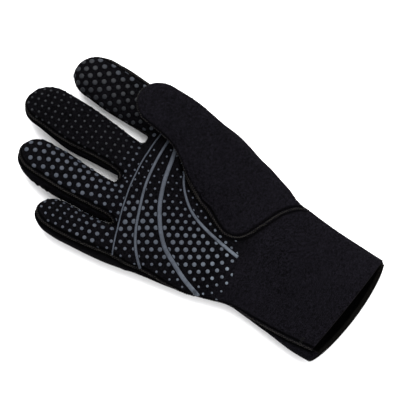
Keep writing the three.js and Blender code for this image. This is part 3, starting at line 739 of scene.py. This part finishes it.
def jersey(name, dark, light, worn, gloss=.014, print_and_shade_tone=None, hem=None):
    """Knitted nylon face: fine wales, soft fuzz, slow tone changes; darker cloth above the wrist, which is
    the print's ground on the palm panel and painted shade on the back panel; other colours at a hem; painted
    shade in the seams' grooves.
    """
    look = Look(name, Specular_IOR_Level=gloss, Sheen_Weight=.2 * gloss, Sheen_Roughness=.5,
                Sheen_Tint=(.8, .76, .9, 1))
    knit = look.noise((1.65, 1.3, 1.65), 2.0, .7)
    fuzz = look.noise((.55, .42, .55), 3.0, .6)
    slow = look.noise((.03, .022, .03), 2.0, .5)
    wale = (look.node("ShaderNodeSeparateXYZ", {}, look.place((7.4, 1, 1))) + fuzz * 1.6).sine()
    shade = (slow * .5 + (fuzz - .5) * 1.2 + (knit - .5) * 6.5 + .17).held()
    specks = (knit - .66) * 6.0
    colour = look.mix(specks.held() * .5, look.mix(shade, dark, light), worn)
    if print_and_shade_tone:
        # Darker cloth above the wrist: the print's ground on the palm panel, painted shade on the back panel.
        along = look.node("ShaderNodeSeparateXYZ", {}, look.place((1, 1, 1)), out=1)
        area = ((along - PRINT_AND_SHADE_EDGE_LOW) / (PRINT_AND_SHADE_EDGE_HIGH - PRINT_AND_SHADE_EDGE_LOW)).held()
        colour = look.mix(area, colour, look.mix(shade, *print_and_shade_tone))
    if hem:
        bare = (look.node("ShaderNodeAttribute", {"attribute_name": "hem"}, out=2) + fuzz * .8).held()
        colour = look.mix(bare, colour, look.mix(shade, *hem))
    # Painted shade in the seams' grooves: the cloth darkens towards a near-black colour there.
    painted_groove_shade = look.node("ShaderNodeAttribute", {"attribute_name": "painted_groove_shade"}, out=2)
    look.set("Base Color", look.mix((painted_groove_shade * 1.1).held(), colour, GROOVE_SHADE_COLOUR))
    look.set("Roughness", .78 + knit * .2)
    look.relief(knit * .7 + wale * .12 + fuzz * .5, .35, .6)
    return look.material


PRINT_AND_SHADE_EDGE_LOW, PRINT_AND_SHADE_EDGE_HIGH = -56, -40  # along the hand: plain cloth below, darker cloth above: the print's ground on the palm panel, painted shade on the back panel


LIGHT_LEVEL = 1.7


def rgb(r, g, b):
    """A colour from its display values, 0 to 255, under the studio's bright light, as linear light."""
    linear = (v / 255 / 12.92 if v < 10.3 else ((v / 255 + .055) / 1.055) ** 2.4 for v in (r, g, b))
    return tuple(v / LIGHT_LEVEL for v in linear) + (1,)


FOAM = rgb(12, 11.6, 11), rgb(27, 25.6, 23.8)


def raw_foam():
    look = Look("cut_foam_edge", Specular_IOR_Level=0)
    cells = look.node("ShaderNodeTexVoronoi", {}, look.place((3.2, 3.2, 3.2)), Scale=1.0)
    spots = look.noise((.4, .4, .4), 3.0)
    look.set("Base Color", look.mix((cells * .7 + spots * .5).held(), *FOAM))
    look.set("Roughness", .8 + spots * .15)
    look.relief(cells, .25, .7)
    return look.material


def silicone():
    look = Look("grip_print", Specular_IOR_Level=.12)
    cloud = look.noise((.16, .16, .16), 3.0, .6)
    grain = look.noise((2.2, 2.2, 2.2), 2.0, .6)
    speck = look.noise((1.3, 1.3, 1.3), 2.0, .6)
    scuffs = (look.noise((1.1, 1.5, 1.1), 3.0, .7) - .52) * 5.0
    place = look.place((1, 1, 1))
    across = look.node("ShaderNodeSeparateXYZ", {}, place)
    along = look.node("ShaderNodeSeparateXYZ", {}, place, out=1)
    # Painted shade: the print on the middle and index fingers is darkened towards near-black.
    painted_finger_shade = ((across + 27) / 8).held() * ((along - 54) / 12).held() * (1 - ((across - 41) / 10).held())
    mottle = ((cloud - .5) * 1.1 + (speck - .5) * 1.6 + .42).held()
    tone = look.mix(mottle, rgb(43, 47.5, 55), rgb(74, 80, 91))
    # Painted highlight: the print on the lower palm is lightened in patches towards a pale grey, like a gloss
    # reflection.
    painted_highlight = ((along + 2) / -45).held() * (((across + 8) / -12).held()) * ((cloud - .3) * 2.2).held()
    tone = look.mix(painted_finger_shade * .9, look.mix(painted_highlight, tone, rgb(112, 121, 131)), rgb(13, 14.5, 18))
    look.set("Base Color", look.mix(scuffs.held() * .55, tone, rgb(32, 35, 40)))
    look.set("Roughness", .4 + grain * .25)
    look.relief(grain, .15, .5)
    return look.material


def thread(name, low, high):
    look = Look(name, Specular_IOR_Level=.2)
    twist = look.noise((2.6, 2.6, 2.6), 2.0)
    look.set("Base Color", look.mix((twist * 1.4 - .2).held(), low, high))
    look.set("Roughness", .6 + twist * .3)
    look.relief(twist, .1, .6)
    return look.material


# Colour of the painted shade in the grooves beside the seams.
GROOVE_SHADE_COLOUR = rgb(1, 1, 1.2)
CLOTH = rgb(.8, .6, 1.2), rgb(22.5, 21, 26.5), rgb(38, 36, 43)
shell = jersey("shell_jersey", *CLOTH)
# The back panel's darker tone above the wrist is painted shade, for the shadowed sides of the fingers and
# hand.
back_cloth = jersey("back_jersey", *CLOTH, .01, (rgb(.3, .3, .6), rgb(11.5, 10.8, 14)))
palm_cloth = jersey("palm_jersey", *CLOTH, .014, (rgb(.3, .3, .6), rgb(12.5, 11.6, 15)))
# The lining's colours are set darker than the shell's cloth: painted shade for the inside of the mouth.
lining = jersey("lining_jersey", rgb(1, 1, 1.1), rgb(6, 6, 6.4), rgb(12, 12, 13), 0, hem=FOAM)
foam, print_look = raw_foam(), silicone()
thread_look = thread("seam_thread", rgb(19, 17.5, 15), rgb(50, 46.5, 39.5))
tack_look = thread("tack_thread", rgb(1, 1, 1), rgb(13, 12, 11.5))

for name, label in PANELS.items():
    cloth = {"palm_panel": palm_cloth, "back_panel": back_cloth}.get(name, shell)
    piece = link("glove_" + name, panel_mesh(name, label), [cloth, lining, foam])
    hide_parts(name)


# Seam thread, stripes and dots on the skin

surface = BVHTree.FromPolygons([Vector(p) for p in skin], [tuple(int(i) for i in f) for f in faces])
palm_rows = faces[labels == PALM_SIDE]
palm_surface = BVHTree.FromPolygons([Vector(p) for p in skin], [tuple(int(i) for i in f) for f in palm_rows])


def evened(line, step):
    """A line of points smoothed a little and set at even steps."""
    for _ in range(6):
        line = np.vstack([line[:1], (line[:-2] + line[1:-1] * 2 + line[2:]) / 4, line[-1:]])
    run = np.concatenate([[0], np.cumsum(np.linalg.norm(np.diff(line, axis=0), axis=1))])
    at = np.linspace(0, run[-1], max(int(run[-1] / step) + 1, 3))
    return np.stack([np.interp(at, run, line[:, k]) for k in range(3)], 1)


def swept(rows, n):
    """Faces of a closed form with n points in each row."""
    rings = [(r * n + i, r * n + (i + 1) % n, (r + 1) * n + (i + 1) % n, (r + 1) * n + i)
             for r in range(rows - 1) for i in range(n)]
    return rings + [tuple(reversed(range(n))), tuple(range((rows - 1) * n, rows * n))]


def cord_mesh(line, radius, sides=5):
    """A thin round cord through points."""
    points = []
    ahead = np.gradient(line, axis=0)
    ahead /= np.maximum(np.linalg.norm(ahead, axis=1), 1e-9)[:, None]
    for p, d in zip(line, ahead):
        side = np.cross(d, (.3, .2, .93))
        side /= max(np.linalg.norm(side), 1e-9)
        up = np.cross(side, d)
        turns = np.arange(sides) * 2 * math.pi / sides
        points += [p + radius * (side * math.cos(a) + up * math.sin(a)) for a in turns]
    return points, swept(len(line), sides)


def joined(parts):
    points, rings = [], []
    for more, faces_of in parts:
        rings += [tuple(i + len(points) for i in ring) for ring in faces_of]
        points += list(more)
    return points, rings


STITCH_RUN, STITCH_SIDE, STITCH_LIFT, THREAD_RADIUS = .9, .95, .14, .24
TACK = (-49.4, -119.4, 4.4, 2.2)  # the bar tack at the mouth end of the side seam: place and size in plan
TACK_TURNS = 12
OVERHEAD, DOWN = 80, Vector((0, 0, -1))  # rays that look for the skin start at this height, mm
zigzags = []
for _, line in seams:
    base = evened(skin[line], STITCH_RUN)
    ahead = np.gradient(base, axis=0)
    ahead /= np.maximum(np.linalg.norm(ahead, axis=1), 1e-9)[:, None]
    track = []
    for k, (p, d) in enumerate(zip(base, ahead)):
        up = np.array(surface.find_nearest(Vector(p))[1])
        side = np.cross(d, up)
        spot = p + side * STITCH_SIDE * (1 if k % 2 else -1)
        hit, normal, _, _ = surface.find_nearest(Vector(spot))
        track.append(np.array(hit) + np.array(normal) * STITCH_LIFT)
    zigzags.append(cord_mesh(np.array(track), THREAD_RADIUS))
tack = []
for k in range(TACK_TURNS + 1):
    over = Vector((TACK[0] + TACK[2] * k / TACK_TURNS, TACK[1] + TACK[3] * (k % 2), OVERHEAD))
    tack.append(np.array(surface.ray_cast(over, DOWN)[0]) + (0, 0, STITCH_LIFT))
zigzags.append(cord_mesh(np.array(tack), THREAD_RADIUS))
points, rings = joined(zigzags)
cords = plain_mesh("seam_thread", np.array(points) * MM, rings)
of_tack = len(zigzags[-1][1])
cords.polygons.foreach_set("material_index", [0] * (len(rings) - of_tack) + [1] * of_tack)
link("seam_thread", cords, [thread_look, tack_look])


def on_palm(x, y, lift):
    """The palm panel's surface at a place in plan, lifted off it."""
    hit, normal, _, _ = palm_surface.ray_cast(Vector((x, y, OVERHEAD)), DOWN)
    if hit is None:
        hit, normal, _, _ = palm_surface.find_nearest(Vector((x, y, 14)))
    return np.array(hit) + np.array(normal) * lift


STRIPE_STEP, STRIPE_EASE = 1.0, 40  # step along a stripe, mm, and how often its bends are eased
STRIPE_FORM = ((-1, -.15), (-.9, .42), (-.45, .58), (.0, .62), (.45, .58), (.9, .42), (1, -.15))
for name, rows in STRIPES.items():
    line = curve_through(rows, STRIPE_STEP, STRIPE_EASE)
    ahead = np.gradient(line[:, :2], axis=0)
    ahead /= np.linalg.norm(ahead, axis=1)[:, None]
    points = []
    for (x, y, wide), (dx, dy) in zip(line, ahead):
        points += [on_palm(x - dy * s * wide / 2, y + dx * s * wide / 2, lift) for s, lift in STRIPE_FORM]
    rings = [tuple(reversed(ring)) for ring in swept(len(line), len(STRIPE_FORM))]
    stripe = link("print_" + name, plain_mesh(name, np.array(points) * MM, rings), print_look)
    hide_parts(name)


def grid_place(grid, number, row):
    """A dot's place in its grid, and how far it is beyond the grid's own dots."""
    rows, first, last = zip(*grid["spans"])
    j = min(max(row, rows[0]), rows[-1])
    i = min(max(number, float(np.interp(j, rows, first))), float(np.interp(j, rows, last)))

    def place(i, j):
        powers = [i ** k * j ** (degree - k) for degree in range(1, 5) for k in range(degree, -1, -1)]
        return np.array([grid["from"][k] + sum(c * p for c, p in zip(grid[key], powers))
                         for k, key in enumerate(("across", "along"))])

    at = (place(i, j) + (place(i + .5, j) - place(i - .5, j)) * (number - i)
          + (place(i, j + .5) - place(i, j - .5)) * (row - j))
    return at, abs(number - i) + abs(row - j)


def round_finger(tube, arc, y):
    """The point of a finger's upper side at a distance round it from its middle line."""
    centre, half, mid, deep = (float(v) for v in tube.section(y))
    power = tube.roundness[0]
    share = np.sin(np.linspace(-math.pi / 2, math.pi / 2, 121))
    x, z = centre + half * share, mid + deep * (1 - np.abs(share) ** power) ** (1 / power)
    run = np.concatenate([[0], np.cumsum(np.hypot(np.diff(x), np.diff(z)))])
    run -= run[-1] / 2
    if abs(arc) > run[-1]:
        return None
    return np.array([np.interp(arc, run, x), y, np.interp(arc, run, z)])


def dot_radius(part, x, y):
    if part == "palm":
        u, v = (x + 32.2) / 30, (y - 12.2) / 30
        size = (1.607 - .418 * u - .288 * v - .615 * u * u - .04 * u * v - .093 * v * v + .161 * u ** 3
                + .414 * u * u * v + .011 * u * v * v + .053 * v ** 3)
        bump = .42 * math.exp(-((x + 40) ** 2 + (y - 33) ** 2) / 300)
        return min(max(1.35 + (size + bump - 1.35) * 1.3, .85), 2.1) * .93
    if part == "little":
        return 1.0 + .6 * min(max((72 - y) / 26, 0), 1)
    if part == "ring":
        return 1.7 - .46 * min(max((74 - y) / 30, 0), 1)
    if part == "middle":
        return .92 + .14 * min(max((90 - y) / 30, 0), 1)
    return 1.5 + .45 * min(max((y - 70) / 35, 0), 1)


STRIPE_REACH = 7  # only a stripe this near cuts a dot, mm
stripe_lines = [curve_through(rows, STRIPE_STEP, STRIPE_EASE) for rows in STRIPES.values()]


def beside_stripes(x, y, centre, margin=.4):
    """A dot's point kept off the stripes, on the side of the dot's own centre."""
    for line in stripe_lines:
        near = np.hypot(line[:, 0] - centre[0], line[:, 1] - centre[1]).argmin()
        near = min(max(near, 1), len(line) - 2)
        px, py, wide = line[near]
        if math.hypot(px - centre[0], py - centre[1]) > STRIPE_REACH:
            continue
        dx, dy = (line[near + 1] - line[near - 1])[:2]
        size = math.hypot(dx, dy)
        nx, ny = -dy / size, dx / size
        side = 1 if (centre[0] - px) * nx + (centre[1] - py) * ny >= 0 else -1
        off = ((x - px) * nx + (y - py) * ny) * side
        lack = wide / 2 + margin - off
        if lack > 0:
            x, y = x + nx * side * lack, y + ny * side * lack
    return x, y


RING_FOOT, RING_LOW = (-52.5, -25), 51  # the ring finger's foot across the hand, and its upper end, mm
stripe_x, stripe_y, _ = zip(*reversed(STRIPES["grip_stripe_1"]))


def of_ring(x, y):
    """Whether a place at the ring finger's foot lies on the finger's side of the first stripe."""
    return RING_FOOT[0] < x < RING_FOOT[1] and y > np.interp(x, stripe_x, stripe_y)


DOT_SIDES, DOT_LIFT, SEAM_EDGE = 14, .42, 1.9
DOT_APART, DOT_FROM_SEAM, DOT_OFF_SKIN = .95, 1.2, 3  # gaps beside dots; too far off the skin, mm
MOST_CUT = .45  # a dot cut by a stripe more than this share of its radius is left out
GRID_REACH = 9  # dots this many places beyond the measured ones still belong to a grid
DOT_RINGS = ((1, -.3), (.97, .62), (.8, .93), (.45, 1.0))
placed, dot_parts, grid_dots = [], [], []
foot_x, foot_y = zip(*PRINT_FOOT)
for part, grid in GRIDS.items():
    first_row, last_row = grid["spans"][0][0], grid["spans"][-1][0]
    for number in range(-16, 17):
        for row in range(first_row - 5, last_row + 5):
            at, beyond = grid_place(grid, number, row)
            if beyond < GRID_REACH:
                grid_dots.append((beyond, part, number, row, at))
for _, part, number, row, (a, y) in sorted(grid_dots, key=lambda d: d[:4]):
    x0, x1, y0, y1 = GRIDS[part]["part"]
    spot = palm_surface.ray_cast(Vector((a, y, OVERHEAD)), DOWN)[0]
    if part != "palm":
        if not FINGERS[part].low < y < FINGERS[part].end - .5:
            continue
        spot = round_finger(FINGERS[part], a, y)
    if spot is None or not (x0 < spot[0] < x1 and y0 < y < y1):
        continue
    hit, normal, _, gap = palm_surface.find_nearest(Vector(spot))
    x, y, _ = hit
    size = dot_radius(part, x, y)
    if gap > DOT_OFF_SKIN or y < np.interp(x, foot_x, foot_y) - size * .4:
        continue
    if part == "palm" and of_ring(a, y) or part == "ring" and y < RING_LOW and not of_ring(x, y):
        continue
    if tree.find(hit)[2] < DOT_FROM_SEAM + size * .3:
        continue
    if any(math.dist(hit, p) < r + size + DOT_APART for p, r in placed):
        continue
    cut_x, cut_y = beside_stripes(x, y, (x, y))
    if math.hypot(cut_x - x, cut_y - y) > size * MOST_CUT:
        continue
    placed.append((tuple(hit), size))
    across = normal.cross(Vector((0, 1, .01))).normalized()
    along = across.cross(normal)
    turned = .37 * number + .61 * row
    points = []
    for share, lift in DOT_RINGS + ((0, 1.03),):
        for k in range(DOT_SIDES if share else 1):
            angle = turned + 2 * math.pi * k / DOT_SIDES
            at = hit + (across * math.cos(angle) + along * math.sin(angle)) * size * share
            px, py = beside_stripes(at.x, at.y, (x, y))
            at = Vector((px, max(py, float(np.interp(px, foot_x, foot_y))), at.z))
            seam_at, _, seam_gap = tree.find(at)
            if seam_gap < SEAM_EDGE:
                at = seam_at + (at - seam_at).normalized() * SEAM_EDGE
            base, up_there, _, _ = palm_surface.find_nearest(at)
            points.append(base + up_there * lift * DOT_LIFT)
    rings = []
    for turn in range(len(DOT_RINGS) - 1):
        for k in range(DOT_SIDES):
            a, b = turn * DOT_SIDES + k, turn * DOT_SIDES + (k + 1) % DOT_SIDES
            rings.append((a, b, b + DOT_SIDES, a + DOT_SIDES))
    last = (len(DOT_RINGS) - 1) * DOT_SIDES
    rings += [(last + k, last + (k + 1) % DOT_SIDES, last + DOT_SIDES) for k in range(DOT_SIDES)]
    rings.append(tuple(reversed(range(DOT_SIDES))))
    dot_parts.append((points, rings))
points, rings = joined(dot_parts)
link("print_dots", plain_mesh("print_dots", np.array(points) * MM, rings), print_look)


# Table, light and camera

def paper():
    look = Look("table_paper", Roughness=.9, Specular_IOR_Level=.1)
    fibre = look.noise((.2, .2, .2), 3.0)
    look.set("Base Color", look.mix(fibre.held(), (.86, .86, .87, 1), (.9, .9, .905, 1)))
    return look.material


corners = [(-6, -6, 0), (6, -6, 0), (6, 6, 0), (-6, 6, 0)]
table = bpy.data.objects.new("table", plain_mesh("table", corners, [(0, 1, 2, 3)]))
table.data.materials.append(paper())
bpy.context.scene.collection.objects.link(table)

TILT = math.radians(16)
HEADING = math.radians(147)
TARGET = Vector((0, 0, 10)) * MM
DISTANCE = 1.3
SPAN = 400 * .7244 * MM  # width of the picture at the target
ground = Vector((math.cos(HEADING), math.sin(HEADING) / math.cos(TILT))).normalized()
right = Vector((ground.y, ground.x, 0))
up_ground = Vector((-ground.x, ground.y, 0))
to_camera = -up_ground * math.sin(TILT) + Vector((0, 0, 1)) * math.cos(TILT)
up = up_ground * math.cos(TILT) + Vector((0, 0, 1)) * math.sin(TILT)
eye = bpy.data.cameras.new("eye")
eye.sensor_width = 36
eye.lens = 36 * DISTANCE / SPAN
camera = bpy.data.objects.new("eye", eye)
bpy.context.scene.collection.objects.link(camera)
camera.location = TARGET + to_camera * DISTANCE
camera.rotation_mode = "QUATERNION"
camera.rotation_quaternion = Matrix((right, up, to_camera)).transposed().to_quaternion()
bpy.context.scene.camera = camera


def lamp(name, place, size, power, colour=(1, 1, 1)):
    light = bpy.data.lights.new(name, "AREA")
    light.shape, light.size, light.energy, light.color = "SQUARE", size, power, colour
    thing = bpy.data.objects.new(name, light)
    thing.location = place
    thing.rotation_mode = "QUATERNION"
    thing.rotation_quaternion = (Vector(place) - TARGET).to_track_quat("Z", "Y")
    bpy.context.scene.collection.objects.link(thing)


over = up_ground * .75 + Vector((0, 0, 1.25)) - right * .2
lamp("soft_box", over, 1.1, 22 * LIGHT_LEVEL)
lamp("fill", right * .9 + Vector((0, 0, 1.0)) - up_ground * .4, 1.4, 8 * LIGHT_LEVEL)
world = bpy.data.worlds.new("studio")
world.use_nodes = True
world.node_tree.nodes["Background"].inputs["Color"].default_value = (1, 1, 1, 1)
world.node_tree.nodes["Background"].inputs["Strength"].default_value = .75 * LIGHT_LEVEL
bpy.context.scene.world = world
bpy.context.scene.view_settings.view_transform = "Standard"
